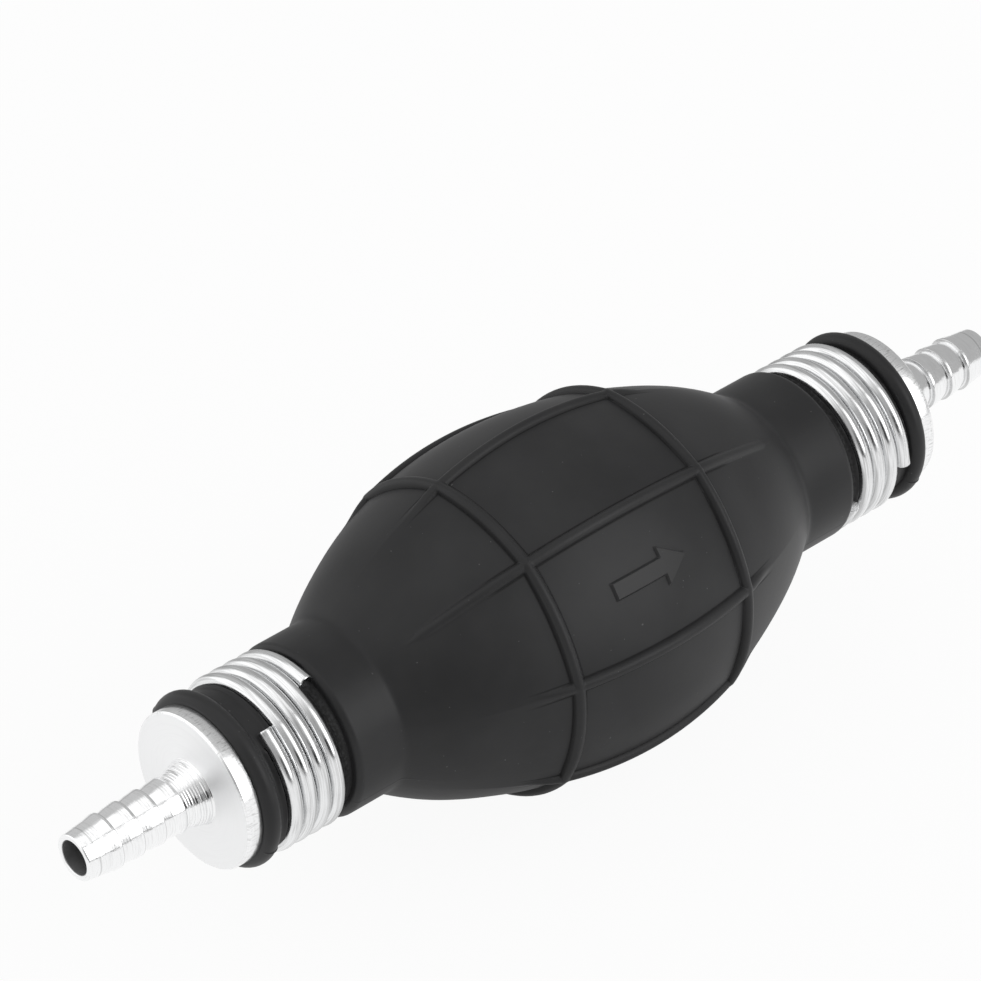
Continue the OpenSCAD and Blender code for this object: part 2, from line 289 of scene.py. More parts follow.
# noise scales are per metre; a band is its two sides and the softness of its edges
rubberLook = {
    "dark": (0.0205, 0.0205, 0.0212, 1),
    "light": (0.0275, 0.0275, 0.0282, 1),
    "roughness": 0.42,
    "roughnessSpread": 0.06,
    "mottleScale": 90,
    "grainScale": 1400,
    "grainHeight": 0.03,
    "dustScale": 2300,
    "dust": grey(0.20),
    "dustShare": 0.35,
    # painted shade in the corners at the feet of the ribs: its colour and where it lies
    "footShade": grey(0.004),
    "footShadeShare": 0.75,
    "footShadeRoughness": 0.25,
    "footShadeBand": (0.88, 1.08, 0.12),     # distance from the middle of a rib
    "footShadeGap": (0.8, 1.0),              # it fades this near the middle of a crossing rib
    "footShadeReach": (19, 23),              # and between these places along the belly
    # painted highlight on the raised arrow
    "arrowHighlight": grey(0.052),
    "arrowHighlightShare": 0.3,
    "arrowHighlightSharpness": 6,               # one over the width of the soft edge of the arrow's painted highlight
    "skinBand": (45.3, 47.0, 0.4),
    "skinScale": 2600,
    "skin": grey(0.008),
    "skinRoughness": 0.2,
}


def bulbRubber():
    look = rubberLook
    material, paint = newPaint("bulbRubber")
    x, radius, outY, outZ = paint.aroundAxis()
    place = paint.combine(x, radius * outY, radius * outZ)
    mottle = paint.noise(place, look["mottleScale"], 3)
    grain = paint.noise(place, look["grainScale"], 3)
    dust = paint.step(paint.noise(place, look["dustScale"], 0), 0.86, 0.90)
    base = paint.mix(paint.step(mottle, 0.3, 0.75), look["dark"], look["light"])
    base = paint.mix(dust * look["dustShare"], base, look["dust"])
    # painted shade: the corners at the feet of the ribs are painted darker, where shade falls
    offMiddle = x.math("ABSOLUTE")
    angle = outZ.math("ARCTAN2", outY)
    turn = angle * (ribs["count"] / tau)
    fromRib = (turn - ribs["phase"] * ribs["count"] / 360 + 0.5).math("FRACT") - 0.5
    aside = fromRib.math("ABSOLUTE") * radius * (tau / ribs["count"])
    fromRing = (offMiddle - ribs["ringX"] * mm).math("ABSOLUTE")
    footShadeBand = inMetres(look["footShadeBand"])
    footShadeGap = inMetres(look["footShadeGap"])
    between = 1 - paint.step(offMiddle, *inMetres(look["footShadeReach"]))
    lengthwise = paint.band(aside, *footShadeBand) * between * paint.step(fromRing, *footShadeGap)
    ringwise = paint.band(fromRing, *footShadeBand) * paint.step(aside, *footShadeGap)
    footShade = lengthwise.math("MAXIMUM", ringwise)
    base = paint.mix(footShade * look["footShadeShare"], base, look["footShade"])
    # painted highlight: the raised arrow is painted a little lighter, as if lit more
    sharp = look["arrowHighlightSharpness"] / mm
    head, length = arrow["head"] * mm, arrow["length"] * mm
    beside = (angle - math.radians(arrow["turn"])).math("ABSOLUTE") * radius
    toTip = length / 2 - x
    onHead = (toTip * (arrow["width"] / arrow["head"] / 2) - beside) * sharp
    onHead = onHead.math("MINIMUM", (head - toTip) * sharp + 0.5)
    onShaft = (arrow["shaft"] / 2 * mm - beside) * sharp
    onShaft = onShaft.math("MINIMUM", (toTip - head) * sharp + 1)
    onShaft = onShaft.math("MINIMUM", (length - toTip) * sharp)
    onArrow = paint.step(onHead.math("MAXIMUM", onShaft), 0, 1)
    base = paint.mix(onArrow * look["arrowHighlightShare"], base, look["arrowHighlight"])
    # the neck's end keeps the raw skin of the mould, darker and grainier
    skin = paint.band(offMiddle, *inMetres(look["skinBand"]))
    coarse = paint.noise(place, look["skinScale"], 2)
    base = paint.mix(skin * paint.step(coarse, 0.35, 0.6), base, look["skin"])
    rough = (look["roughness"] + look["roughnessSpread"] * (mottle - 0.5)
             + skin * look["skinRoughness"] + footShade * look["footShadeRoughness"])
    paint.finish({
        "Base Color": base,
        "Roughness": rough,
        "IOR": 1.2,
        "Specular IOR Level": 1.0,
        "Normal": paint.bump(grain * 0.5 + coarse * skin * 2.0, look["grainHeight"] * mm, 0.5),
    })
    return material


aluminiumLook = {
    "base": (0.92, 0.923, 0.927, 1),
    "ringShade": grey(0.62),
    "ringShare": 0.32,
    "ringSpacing": 0.12,
    "rimShade": grey(0.45),
    "rimShare": 0.7,
    "rimRadius": (11.05, 11.2),         # the flange's edge starts between these
    # painted shade along the barbs' crests
    "paintedCrestShade": grey(0.42),
    "crestShare": 0.5,
    "crestWidth": (0.07, 0.14),
    "crestStart": (0.45, 0.25),         # before the crest nearest the flange
    # painted shade: the bore's inside is painted darker, as in the shade of a deep hole
    "borePaintedShade": (0.30, 0.30, 0.303, 1),
    "boreRadius": (2.52, 2.62),
    "boreStart": (40, 41),
    "boreRoughness": 0.45,
    "roughness": 0.14,
    "faceBand": (62.445, 62.54, 0.015),
    "faceRoughness": 0.28,              # added on the flange's faced front
    "faceShare": 0.25,                  # how much of the rings' colour shows there
    "waveHeight": 4,                    # of the uneven cut, against the fine rings
    "waveScale": (650, 5),
    "patchScale": (300, 6),
    "scuffScale": (900, 60),
    "ringHeight": 0.012,
}


def turnedAluminium():
    look = aluminiumLook
    material, paint = newPaint("turnedAluminium")
    x, radius, outY, outZ = paint.aroundAxis()
    offMiddle = x.math("ABSOLUTE")
    # fine rings left by the tool, drawn out round the axis
    across = 1 / (look["ringSpacing"] * mm)
    rings = paint.roundNoise(x * across, radius * across, outY * 1.5, outZ * 1.5, 2)
    patches = paint.patchNoise(x, outY, outZ, look["patchScale"], 3)
    wavy = paint.patchNoise(x, outY, outZ, look["waveScale"], 2)
    scuffs = paint.step(paint.patchNoise(x, outY, outZ, look["scuffScale"], 4), 0.5, 0.75)
    inBore = ((1 - paint.step(radius, *inMetres(look["boreRadius"])))
              * paint.step(offMiddle, *inMetres(look["boreStart"])))
    onRim = paint.step(radius, *inMetres(look["rimRadius"]))
    onFace = paint.band(offMiddle, *inMetres(look["faceBand"]))
    ringShare = look["ringShare"] - look["ringShare"] * (1 - look["faceShare"]) * onFace
    base = paint.mix(ringShare * paint.step(rings, 0.45, 0.75), look["base"], look["ringShade"])
    base = paint.mix(onRim * scuffs * look["rimShare"], base, look["rimShade"])
    # painted shade: a thin dark line is painted along each barb's crest
    pitch = tail["barbPitch"] * mm
    crest = (tail["faceX"] + tail["rootLength"] + tail["barbStep"]) * mm
    fromCrest = (((offMiddle - crest) / pitch + 0.5).math("FRACT") - 0.5).math("ABSOLUTE") * pitch
    onBarbs = paint.step(offMiddle, *[crest - before for before in inMetres(look["crestStart"])])
    onCrest = (1 - paint.step(fromCrest, *inMetres(look["crestWidth"]))) * onBarbs
    base = paint.mix(onCrest * look["crestShare"], base, look["paintedCrestShade"])
    # painted shade: the bore's inside is darkened
    base = paint.mix(inBore, base, look["borePaintedShade"])
    rough = (look["roughness"] + 0.06 * rings + 0.10 * onRim * patches
             + look["boreRoughness"] * inBore + look["faceRoughness"] * onFace)
    height = (rings + look["waveHeight"] * wavy) * (1 - 0.7 * onFace)
    paint.finish({
        "Base Color": base,
        "Metallic": 1.0,
        "Roughness": rough,
        "Normal": paint.bump(height, look["ringHeight"] * mm, 0.6),
    })
    return material


wireLook = {
    "base": (0.82, 0.825, 0.83, 1),
    "lineShade": grey(0.42),
    "lineShare": 0.55,
    "lineScale": 5200,
    "lineHeight": 0.01,
    "blotchScale": (500, 9),
    "roughness": 0.15,
}


def springWire():
    look = wireLook
    material, paint = newPaint("springWire")
    x, radius, outY, outZ = paint.aroundAxis()
    # drawing lines run along the wire, which is nearly round the axis
    across = look["lineScale"]
    lines = paint.roundNoise(x * across, radius * across, outY * 2, outZ * 2, 2)
    blotches = paint.patchNoise(x, outY, outZ, look["blotchScale"], 3)
    lined = paint.step(lines, 0.40, 0.70) * look["lineShare"]
    paint.finish({
        "Base Color": paint.mix(lined, look["base"], look["lineShade"]),
        "Metallic": 1.0,
        "Roughness": look["roughness"] + 0.10 * paint.step(blotches, 0.4, 0.7) + 0.05 * lines,
        "Normal": paint.bump(lines, look["lineHeight"] * mm, 0.5),
    })
    return material


# the valve's metal parts: turned or drawn, with rings round the axis
metalLooks = {
    "seat_brass": {"name": "seatBrass", "base": (0.72, 0.53, 0.24, 1),
                   "shade": (0.55, 0.38, 0.15, 1), "roughness": 0.18, "ringSpacing": 0.15},
    "valve_spring_steel": {"name": "valveSpringSteel", "base": grey(0.56),
                           "shade": grey(0.44), "roughness": 0.2, "ringSpacing": 0.1},
    "ring_steel": {"name": "ringSteel", "base": grey(0.20),
                   "shade": grey(0.12), "roughness": 0.28, "ringSpacing": 0.1},
}


def turnedMetal(look):
    material, paint = newPaint(look["name"])
    x, radius, outY, outZ = paint.aroundAxis()
    pitch = look["ringSpacing"] * mm
    rings = paint.roundNoise(x / pitch, radius / pitch, outY, outZ, 2)
    tarnish = paint.noise(paint.combine(x * 400, radius * outY * 400, radius * outZ * 400), 1, 3)
    shaded = paint.step(tarnish, 0.35, 0.75) * 0.6
    paint.finish({
        "Base Color": paint.mix(shaded, look["base"], look["shade"]),
        "Metallic": 1.0,
        "Roughness": look["roughness"] + 0.1 * tarnish,
        "Normal": paint.bump(rings, 0.01 * mm, 0.5),
    })
    return material


# the valve's plastic and small rubber parts
mouldedLooks = {
    "nitrile": {"name": "nitrile", "base": grey(0.012), "shade": grey(0.020),
                "roughness": 0.38, "grainScale": 3000},
    "valve_plastic": {"name": "valvePlastic", "base": (0.80, 0.80, 0.76, 1),
                      "shade": (0.72, 0.72, 0.67, 1), "roughness": 0.32, "grainScale": 2500},
}


def moulded(look):
    material, paint = newPaint(look["name"])
    place = paint.combine(*paint.place())
    cloud = paint.noise(place, 350, 3)
    grain = paint.noise(place, look["grainScale"], 2)
    paint.finish({
        "Base Color": paint.mix(paint.step(cloud, 0.3, 0.7), look["base"], look["shade"]),
        "Roughness": look["roughness"] + 0.12 * (cloud - 0.5),
        "Normal": paint.bump(grain, 0.01 * mm, 0.5),
    })
    return material


def makeMaterials():
    made = {
        "bulb_rubber": bulbRubber(),
        "turned_aluminium": turnedAluminium(),
        "spring_wire": springWire(),
    }
    for slot, look in metalLooks.items():
        made[slot] = turnedMetal(look)
    for slot, look in mouldedLooks.items():
        made[slot] = moulded(look)
    print("materials:", len(made))
    return made


def dress(piece, materials, slot):
    piece.data.materials.clear()
    piece.data.materials.append(materials[slot])


bulb = {
    "node": "squeeze_bulb",
    "beltRadius": 25.0,
    "creaseX": 36.6,                    # where the belly meets a neck
    "creaseBlend": 0.5,
    "panelFlatness": 0.30,
    "panelFade": (20, 34),              # the panels turn round between these places
    "neckRadius": 12.7,
    "neckEndX": {"inlet": 44.8, "outlet": 45.7},
    "shoulder": 1.0,
    "lipX": 57.4,
    "endX": 60.0,
    "lipRadius": 12.7,
    "lipFillet": 1.25,
    "lipSkin": 0.6,                     # the parting runs down to this far under the surface
    "mouthRadius": 10.8,
    "wall": 3.0,
    "boreRadius": 7.62,
    "barbRadius": 8.22,
    "boreMargin": 0.3,                  # from the chamber's end to the bore's last row
    "creaseRows": (-1.4, -0.8, -0.4, -0.15, 0.1, 0.35, 0.7, 1.2),
    "rowStep": 1.15,                    # the widest gap between two rows
    "chamberRows": 15,
}

groove = {
    "radius": 11.25,                    # of its floor beside the clamp
    "bite": 0.03,                       # clear space under the wire
    "pushHeight": 0.40,                 # the rubber's rise beside the outer turns
    "pushAt": 0.22,
    "pushWidth": 0.26,
    "wallRoom": 0.08,                   # clear space between the clamp and the neck's end
    "edge": 0.14,                       # from the groove's walls to its first rows
    "rowStep": 0.19,
    "floorMargin": 0.1,                 # the floor's rows are those this far from the walls
    "wallMargin": 0.02,
}

ribs = {
    "count": 8,
    "phase": 121.5,
    "backRadius": 0.86,
    "height": 0.80,
    "ringX": 15.2,
    "ringDrop": 0.6,                    # share of the panels' depth that a ring rib follows
    "reach": 34.0,
    "fadeLength": 4.0,
    "fadePast": 1.5,
    "fadeDepth": 1.3,
    "longOnes": (0, 4),                 # the others sink soon after the ring ribs
    "sinkFrom": 15.5,
    "sinkTo": 23.5,
    "sink": 0.9,
    "footBlend": 0.16,
    "leastFoot": 0.05,                  # square of the half width that a sunk rib's columns keep
    "columns": (0.19, 0.38, 0.56, 0.70, 0.78, 0.84, 0.91, 1.05, 1.5, 2.2, 3.2),
    "rows": (0.19, 0.38, 0.56, 0.70, 0.78, 0.84, 0.91, 1.05, 1.5, 2.2, 3.0),
    "panelColumns": 7,                  # between two ribs, where there is no arrow
}

arrow = {
    "turn": 143.0,
    "length": 12.5,
    "width": 5.7,
    "shaft": 2.5,
    "head": 4.1,
    "height": 0.44,
    "edge": 0.14,                       # half the width of its sloping edge
    "edgeRows": (-1.7, -1, 0, 1, 1.7),  # in half widths of that edge
    "edgeKept": 1.8,                    # the same, where it keeps its width
    "tipWidth": 0.3,
    "fanLength": 4.5,
    "innerColumn": 0.65,
    "outerColumns": (3.5, 4.2, 5.4),
}

parting = {
    "turns": (203.3, 203.3 + 180),
    "height": 0.03,
    "lipHeight": 0.12,
    "halfWidth": 0.16,
    "startX": (33, 36),                 # it rises out of the belly between these places
}

beltArc = ((bulb["creaseX"] ** 2 + (bulb["beltRadius"] - bulb["neckRadius"]) ** 2)
           / (2 * (bulb["beltRadius"] - bulb["neckRadius"])))


def bellyRadius(x, grow=0.0):
    return bulb["beltRadius"] - beltArc + np.sqrt(np.maximum((beltArc + grow) ** 2 - x * x, 0))


def ribRod(x):
    # distance of a lengthwise rib's centre line from the axis, and its slope
    top = bulb["beltRadius"] + ribs["height"] - ribs["backRadius"]
    drop = top - (bellyRadius(ribs["reach"]) - ribs["backRadius"])
    arc = (ribs["reach"] ** 2 + drop ** 2) / (2 * drop)
    inner = np.sqrt(arc ** 2 - x * x)
    fade = smoothStep(np.abs(x), ribs["reach"] - ribs["fadeLength"],
                      ribs["reach"] + ribs["fadePast"])
    return top - arc + inner - ribs["fadeDepth"] * fade, inner / arc


def ribFoot(x):
    # half the width of a lengthwise rib where it meets the belly
    centre, slope = ribRod(x)
    depth = (bellyRadius(x) - centre) * slope
    return np.sqrt(np.maximum(ribs["backRadius"] ** 2 - depth ** 2, ribs["leastFoot"]))


def arrowSpread(x):
    # half the arrow's outline width at x, kept going past its tip so that the columns fan out
    tip = arrow["length"] / 2
    half = arrow["width"] / 2
    narrow = arrow["tipWidth"]
    if x < tip - arrow["head"]:
        return half
    if x < tip:
        return max(half * (tip - x) / arrow["head"], narrow)
    return narrow + (half - narrow) * float(smoothStep(x, tip, tip + arrow["fanLength"]))


def arrowColumns():
    # offsets across the arrow, in millimetres: its shaft's edge, its head's edge and beyond
    edges = [arrow["edge"] * row for row in arrow["edgeRows"]]
    half = [arrow["innerColumn"]]
    half += [arrow["shaft"] / 2 + edge for edge in edges]
    half += [(arrow["shaft"] + arrow["width"]) / 4]
    half += [arrow["width"] / 2 + edge for edge in edges]
    half += arrow["outerColumns"]
    return np.array([-offset for offset in reversed(half)] + [0.0] + half)


def fannedColumns(x):
    # the same offsets at x, drawn in along the head's slopes
    across = arrowColumns()
    half = arrow["width"] / 2
    spread = arrowSpread(x)
    reach = across[-1]
    beyond = np.abs(across) - half
    drawnIn = np.where(beyond <= 0, across * spread / half,
                       np.sign(across) * (spread + beyond * (reach - spread) / (reach - half)))
    # the head's sloping edge keeps its width
    onEdge = (beyond > 0) & (np.abs(beyond) <= arrow["edgeKept"] * arrow["edge"])
    return np.where(onEdge, np.sign(across) * (spread + beyond), drawnIn)


def columnAngles(x):
    # angles of one row's columns; those beside a rib follow its feet
    inside = min(abs(x), ribs["reach"] + 1)
    belly = float(bellyRadius(min(abs(x), bulb["creaseX"])))
    scale = float(ribFoot(inside) / ribFoot(0.0))
    near = np.array(ribs["columns"]) * scale / belly
    cell = tau / ribs["count"]
    gap = cell / 2 - near[-1]
    arrowAngle = math.radians(arrow["turn"])
    angles = []
    for i in range(ribs["count"]):
        rib = math.radians(ribs["phase"]) + i * cell
        middle = rib + cell / 2
        angles += list(rib + np.concatenate([-near[::-1], [0.0], near]))
        if abs(wrapAngle(middle - arrowAngle)) < cell / 4:
            angles += list(arrowAngle + fannedColumns(x) / bulb["beltRadius"])
        else:
            angles += list(middle + gap * np.linspace(-1, 1, ribs["panelColumns"] + 2)[1:-1])
    for turn in parting["turns"]:
        angles += [math.radians(turn) + parting["halfWidth"] * k / belly for k in range(-2, 3)]
    return np.sort(angles)


def arrowRise(x, angle):
    # height of the arrow over the belly; its edges follow the grid's own lines
    tip = arrow["length"] / 2
    back = tip - arrow["head"]
    edge = arrow["edge"]
    half = arrow["width"] / 2
    offset = np.abs(wrapAngle(angle - math.radians(arrow["turn"]))) * bulb["beltRadius"]
    spread = np.array([arrowSpread(row) for row in x[:, 0]])[:, None]
    drawnOut = np.where(offset <= spread, offset * half / spread, half + offset - spread)
    shaft = 1 - smoothStep(drawnOut, arrow["shaft"] / 2 - edge, arrow["shaft"] / 2 + edge)
    head = 1 - smoothStep(drawnOut, half - edge, half + edge)
    onShaft = smoothStep(x, -tip - edge, -tip + edge) * (1 - smoothStep(x, back, back + 2 * edge))
    onHead = smoothStep(x, back - edge, back + edge) * (1 - smoothStep(x, tip - edge, tip + edge))
    return arrow["height"] * np.maximum(shaft * onShaft, head * onHead)


def clampEdges(angle, side):
    # x of the clamp's two outer edges over the groove, in this half's own +x sense
    pitch, wire = clampSize["pitch"], clampSize["wire"]
    start = clamps[side]["start"]
    wound = (angle - math.radians(clamps[side]["turn"])) % tau / tau
    low = start + pitch * wound - wire / 2
    whole = np.floor(clampSize["turns"] - wound)
    high = start + pitch * (wound + whole) + wire / 2
    return low, high


def pressedFloor(x, angle, side):
    # radius of the groove's floor: hollow under the wire, pushed up beside the outer turns
    low, high = clampEdges(angle, side)
    away = np.maximum(low - x, x - high)
    wire = clampSize["wire"] / 2
    under = np.clip(away + wire, 0, wire)
    hollow = clampSize["meanRadius"] - np.sqrt(wire ** 2 - under ** 2) - groove["bite"]
    push = np.exp(-((away - groove["pushAt"]) / groove["pushWidth"]) ** 2)
    free = groove["radius"] + groove["pushHeight"] * push
    return np.where(away < 0, np.minimum(hollow, free), free)


def bulbRadius(x, angle):
    # the belly with its ribs and arrow, out to the necks
    belly = bellyRadius(np.clip(np.abs(x), 0, bulb["creaseX"] + 2))
    cell = tau / ribs["count"]
    fromRib = (angle - math.radians(ribs["phase"]) + cell / 2) % cell - cell / 2
    fromMiddle = cell / 2 - np.abs(fromRib)
    chord = np.cos(cell / 2) / np.cos(fromMiddle)
    flatness = bulb["panelFlatness"] * (1 - smoothStep(np.abs(x), *bulb["panelFade"]))
    panel = belly * (1 - flatness + flatness * chord)
    # a ring rib dips with the panels, but less than they do
    back = ribs["backRadius"]
    skin = panel
    for ringX in (-ribs["ringX"], ribs["ringX"]):
        rise = np.sqrt(np.maximum(back ** 2 - (x - ringX) ** 2, 0))
        centre = bellyRadius(ringX) + ribs["height"] - back
        ring = np.where(rise > 0, centre + rise - ribs["ringDrop"] * (belly - panel), 0)
        skin = smoothMax(skin, ring, ribs["footBlend"])
    centre, slope = ribRod(np.clip(x, -ribs["reach"] - 4, ribs["reach"] + 4))
    which = np.round((angle - math.radians(ribs["phase"])) / cell) % ribs["count"]
    short = ~np.isin(which, ribs["longOnes"])
    sinking = smoothStep(np.abs(x), ribs["sinkFrom"], ribs["sinkTo"])
    centre = centre - ribs["sink"] * short * sinking
    # twice, because the rib's back stands further out than the belly
    aside = belly * np.sin(fromRib)
    for _ in range(2):
        rise = np.sqrt(np.maximum(back ** 2 - aside ** 2, 0)) / slope
        rod = np.where(rise > 0, (centre + rise) / np.cos(fromRib), 0)
        aside = np.where(rise > 0, rod * np.sin(fromRib), aside)
    skin = smoothMax(skin, rod, ribs["footBlend"])
    skin = skin + arrowRise(x, angle)
    return smoothMax(skin, bulb["neckRadius"] + 0 * x, bulb["creaseBlend"])


def partingRise(x, angle, radius):
    # a faint ridge where the two halves of the mould met
    rise = 0
    for turn in parting["turns"]:
        aside = radius * wrapAngle(angle - math.radians(turn))
        rise = rise + np.clip(1 - np.abs(aside) / parting["halfWidth"], 0, 1)
    return rise * np.where(np.abs(x) > bulb["lipX"], parting["lipHeight"], parting["height"])


def bulbRows():
    # stations of the belly and necks, close together at the ribs, the arrow and the creases
    stops = []
    for sign, side in ((-1, "inlet"), (1, "outlet")):
        ring = sign * ribs["ringX"]
        stops += [ring]
        stops += [ring - row for row in ribs["rows"]]
        stops += [ring + row for row in ribs["rows"]]
        stops += [sign * (bulb["creaseX"] + row) for row in bulb["creaseRows"]]
        stops += [sign * (bulb["neckEndX"][side] - bulb["shoulder"])]
    edge = arrow["edge"]
    tip = arrow["length"] / 2
    for station in (-tip, tip - arrow["head"], tip):
        stops += [station + row * edge for row in arrow["edgeRows"]]
    # and one where the shaft has ended under the head
    stops += [tip - arrow["head"] + 2 * edge + 0.1]
    return fillIn(stops, bulb["rowStep"])


def neckEnd(side):
    # from the neck over the groove and the rolled lip to the flange, in the +x sense
    size = bulb
    wall, floor, edge = size["neckEndX"][side], groove["radius"], groove["edge"]
    shoulder = roundedLine([
        (wall - size["shoulder"], size["neckRadius"], 0),
        (wall, size["neckRadius"], size["shoulder"] - 0.01),
        (wall + 0.01, floor, 0)], 8)[1:]
    middle = [(x, floor) for x in fillIn([wall + edge, size["lipX"] - edge], groove["rowStep"])]
    lip = roundedLine([
        (size["lipX"] - 0.01, floor, 0),
        (size["lipX"], size["lipRadius"], size["lipFillet"]),
        (size["endX"], size["lipRadius"], size["lipFillet"]),
        (size["endX"], size["mouthRadius"], 0)], 9)
    return np.concatenate([shoulder, middle, lip])


def turnedGrid(line, angles):
    # x, angle and radius of every point of an outline that is turned over the given angles
    x = np.repeat(line[:, 0][:, None], len(angles), axis=1)
    radius = np.repeat(line[:, 1][:, None], len(angles), axis=1)
    return x, np.repeat(angles[None, :], len(line), axis=0), radius


def bellyGrid():
    rows = bulbRows()
    angle = np.array([columnAngles(x) for x in rows])
    x = np.repeat(rows[:, None], angle.shape[1], axis=1)
    radius = bulbRadius(x, angle)
    radius = radius + partingRise(x, angle, radius) * smoothStep(np.abs(x), *parting["startX"])
    return x, angle, radius


def endGrid(sign, side, angles):
    # one neck's end, its groove pressed by the clamp, and its lip
    x, angle, radius = turnedGrid(neckEnd(side) * (sign, 1), angles)
    wall, margin = bulb["neckEndX"][side], groove["floorMargin"]
    inFloor = (np.abs(x) > wall + margin) & (np.abs(x) < bulb["lipX"] - margin)
    radius = np.where(inFloor, pressedFloor(x, angle, side), radius)
    # the neck's end gives way where the clamp's last turn presses into it
    low, high = clampEdges(angle, side)
    room = np.where(x > 0, low, -high) - groove["wallRoom"]
    onNeck = np.abs(x) < wall + groove["wallMargin"]
    x = np.where(onNeck, sign * np.minimum(np.abs(x), room), x)
    onSkin = radius > bulb["neckRadius"] - bulb["lipSkin"]
    return x, angle, radius + partingRise(x, angle, radius) * onSkin


def chamberGrid(angles):
    # the bore from the outlet's flange to the inlet's: pressed on the spigots, wide between them
    size = bulb
    spigotX, barbs = tail["spigotX"], tail["spigotBarbs"]
    pitch = (size["endX"] - spigotX) / barbs
    half = [(size["endX"], size["boreRadius"])]
    for i in reversed(range(barbs)):
        half += [(spigotX + (i + tail["spigotDrop"]) * pitch, size["boreRadius"]),
                 (spigotX + (i + tail["spigotRise"]) * pitch, size["barbRadius"])]
    reach = math.sqrt((beltArc - size["wall"]) ** 2
                      - (beltArc - size["beltRadius"] + size["boreRadius"]) ** 2)
    half += [(x, size["boreRadius"]) for x in (spigotX, reach + size["boreMargin"])]
    half = np.array(half)
    x = np.linspace(reach, -reach, size["chamberRows"])
    arc = np.stack([x, bellyRadius(x, -size["wall"])], axis=-1)
    return turnedGrid(np.concatenate([half, arc, (half * (-1, 1))[::-1]]), angles)


def makeBulb(materials):
    belly = bellyGrid()
    angles = belly[1][-1]
    inlet = [part[::-1] for part in endGrid(-1, "inlet", angles)]
    outlet = endGrid(1, "outlet", angles)
    x, angle, radius = [np.concatenate(parts)
                        for parts in zip(inlet, belly, outlet, chamberGrid(angles))]
    points = aboutAxis(x, radius, angle)
    piece = addPiece("bulb", points.reshape(-1, 3), gridFaces(*x.shape, True), bulb["node"], 50)
    dress(piece, materials, "bulb_rubber")
    print("bulb:", x.shape[0], "rows,", x.shape[1], "columns")


clampSize = {
    "wire": 2.27,
    "meanRadius": 11.42,
    "pitch": 2.37,
    "turns": 3.9,
    "sides": 28,
    "ringsPerTurn": 96,
    "lead": (1.0, 0.97, 0.93, 0.85, 0.5),   # rings of each straight end, in wire diameters
    "cut": (0.90, 0.97),                    # the two last rings are rounded over to this size
}

clamps = {
    "inlet": {"node": "inlet_wire_clamp", "turn": 132.0, "start": -55.05},
    "outlet": {"node": "outlet_wire_clamp", "turn": 206.5, "start": 46.52},
}


def coilLine(look):
    # centres of a right-handed coil about X, and the directions along and out of the wire
    size = clampSize
    angle = math.radians(look["turn"]) + np.linspace(
        0, size["turns"] * tau, round(size["turns"] * size["ringsPerTurn"]) + 1)
    rise = size["pitch"] / tau
    out = aboutAxis(0 * angle, 1, angle)
    along = np.stack([rise + 0 * angle, -size["meanRadius"] * np.sin(angle),
                      size["meanRadius"] * np.cos(angle)], axis=-1)
    along /= np.linalg.norm(along, axis=1)[:, None]
    centre = size["meanRadius"] * out
    centre[:, 0] = look["start"] + rise * (angle - angle[0])
    return centre, along, out


def ringsOf(centre, along, out, wireRadius, sides):
    aside = np.cross(along, out)
    turn = tau * np.arange(sides) / sides
    return (centre[:, None, :] + wireRadius * (np.cos(turn)[None, :, None] * out[:, None, :]
                                               + np.sin(turn)[None, :, None] * aside[:, None, :]))


def cappedTube(name, rings, node):
    rows, sides = rings.shape[:2]
    faces = gridFaces(rows, sides, False)
    faces.append(list(range(sides))[::-1])
    faces.append([(rows - 1) * sides + k for k in range(sides)])
    return addPiece(name, rings.reshape(-1, 3), faces, node, 40)


def makeClamp(side, materials):
    size, look = clampSize, clamps[side]
    centre, along, out = coilLine(look)
    # each end runs straight for one wire diameter and is rounded over a little at its cut
    lead = np.array(size["lead"])[:, None] * size["wire"]
    before = centre[0] - lead * along[0]
    after = centre[-1] + lead[::-1] * along[-1]
    centre = np.concatenate([before, centre, after])
    ends = (len(lead), len(lead))
    along = np.pad(along, (ends, (0, 0)), "edge")
    out = np.pad(out, (ends, (0, 0)), "edge")
    rings = ringsOf(centre, along, out, size["wire"] / 2, size["sides"])
    for k, keep in enumerate(size["cut"]):
        for row in (k, -1 - k):
            rings[row] = centre[row] + (rings[row] - centre[row]) * keep
    piece = cappedTube(side + "Clamp", rings, look["node"])
    dress(piece, materials, "spring_wire")
    print(side, "clamp:", len(rings), "rings")


tail = {
    "spigotX": 42.0,
    "spigotRadius": 7.6,
    "spigotBarbRadius": 8.2,
    "spigotBarbs": 4,
    "spigotRise": 0.7,                  # share of a barb's pitch over which it rises
    "spigotDrop": 0.75,                 # and where it has fallen again
    "flangeX": 60.0,
    "faceX": 62.5,
    "flangeRadius": 11.4,
    "flangeFillet": 0.14,
    "faceChamfer": 0.28,
    "chamferFillet": 0.06,
    "rootRadius": 4.75,
    "rootFillet": 0.12,
    "rootLength": 3.8,
    "valleyRadius": 3.52,
    "valleyFillet": 0.05,
    "barbRadius": 4.0,
    "barbPitch": 3.47,
    "barbs": 4,
    "barbStep": 0.15,
    "barbLand": 0.4,
    "landFillets": (0.07, 0.2),
    "barbBelly": 0.05,                  # how far a barb's slope bulges out
    "bellyAt": 1.5,
    "bellyFillet": 3.0,
    "tipX": 82.0,
    "tipRadius": 3.35,
    "tipEdge": 0.14,
    "tipFillets": (0.2, 0.12, 0.10, 0.10),
    "portRadius": 2.5,
    "pocketRadius": 6.1,
    "snapRadius": 6.7,
    "snapX": 42.9,
    "pocketX": 43.9,
    "shoulderX": 58.9,
    "plenumRadius": 4.8,
    "plenumLength": 2.0,
    "segments": 96,
}

